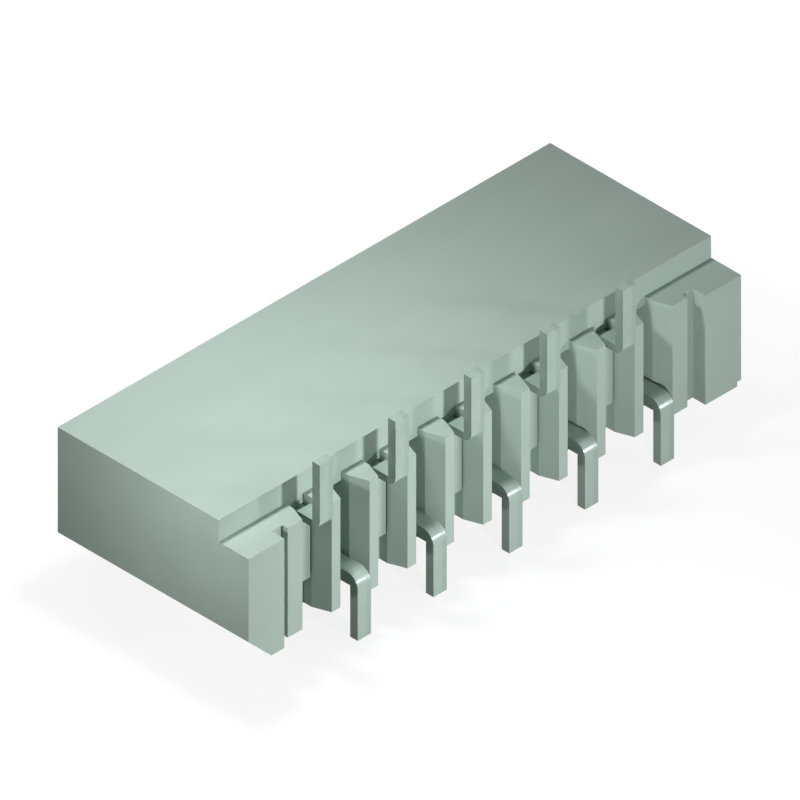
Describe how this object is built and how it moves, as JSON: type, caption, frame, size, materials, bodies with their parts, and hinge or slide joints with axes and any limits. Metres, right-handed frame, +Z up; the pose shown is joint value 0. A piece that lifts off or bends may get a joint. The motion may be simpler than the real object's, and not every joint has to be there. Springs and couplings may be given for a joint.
{
  "type": "flat flex connector",
  "caption": "Surface-mount flat flex connector: oblong moulded housing with a cable slot, a rear comb and a row of stamped contacts whose solder legs turn alternately to both sides.",
  "frame": {"origin": "middle of the pattern of solder legs, on the board plane that they share, at half the housing's height", "axes": "+X along the row of contacts, +Y away from the board towards the cable mouth, +Z up as the connector lies on its long side, towards the stepped side"},
  "size_m": [0.0162, 0.0064, 0.0056],
  "materials": {
    "housing": "fine satin moulding, grey-green",
    "contacts": "pale matt tin plating"
  },
  "bodies": {
    "root": {"housing": "housing", "contact_01": "contacts", "contact_02": "contacts", "contact_03": "contacts", "contact_04": "contacts", "contact_05": "contacts", "contact_06": "contacts", "contact_07": "contacts", "contact_08": "contacts", "contact_09": "contacts", "contact_10": "contacts"}
  },
  "joints": []
}
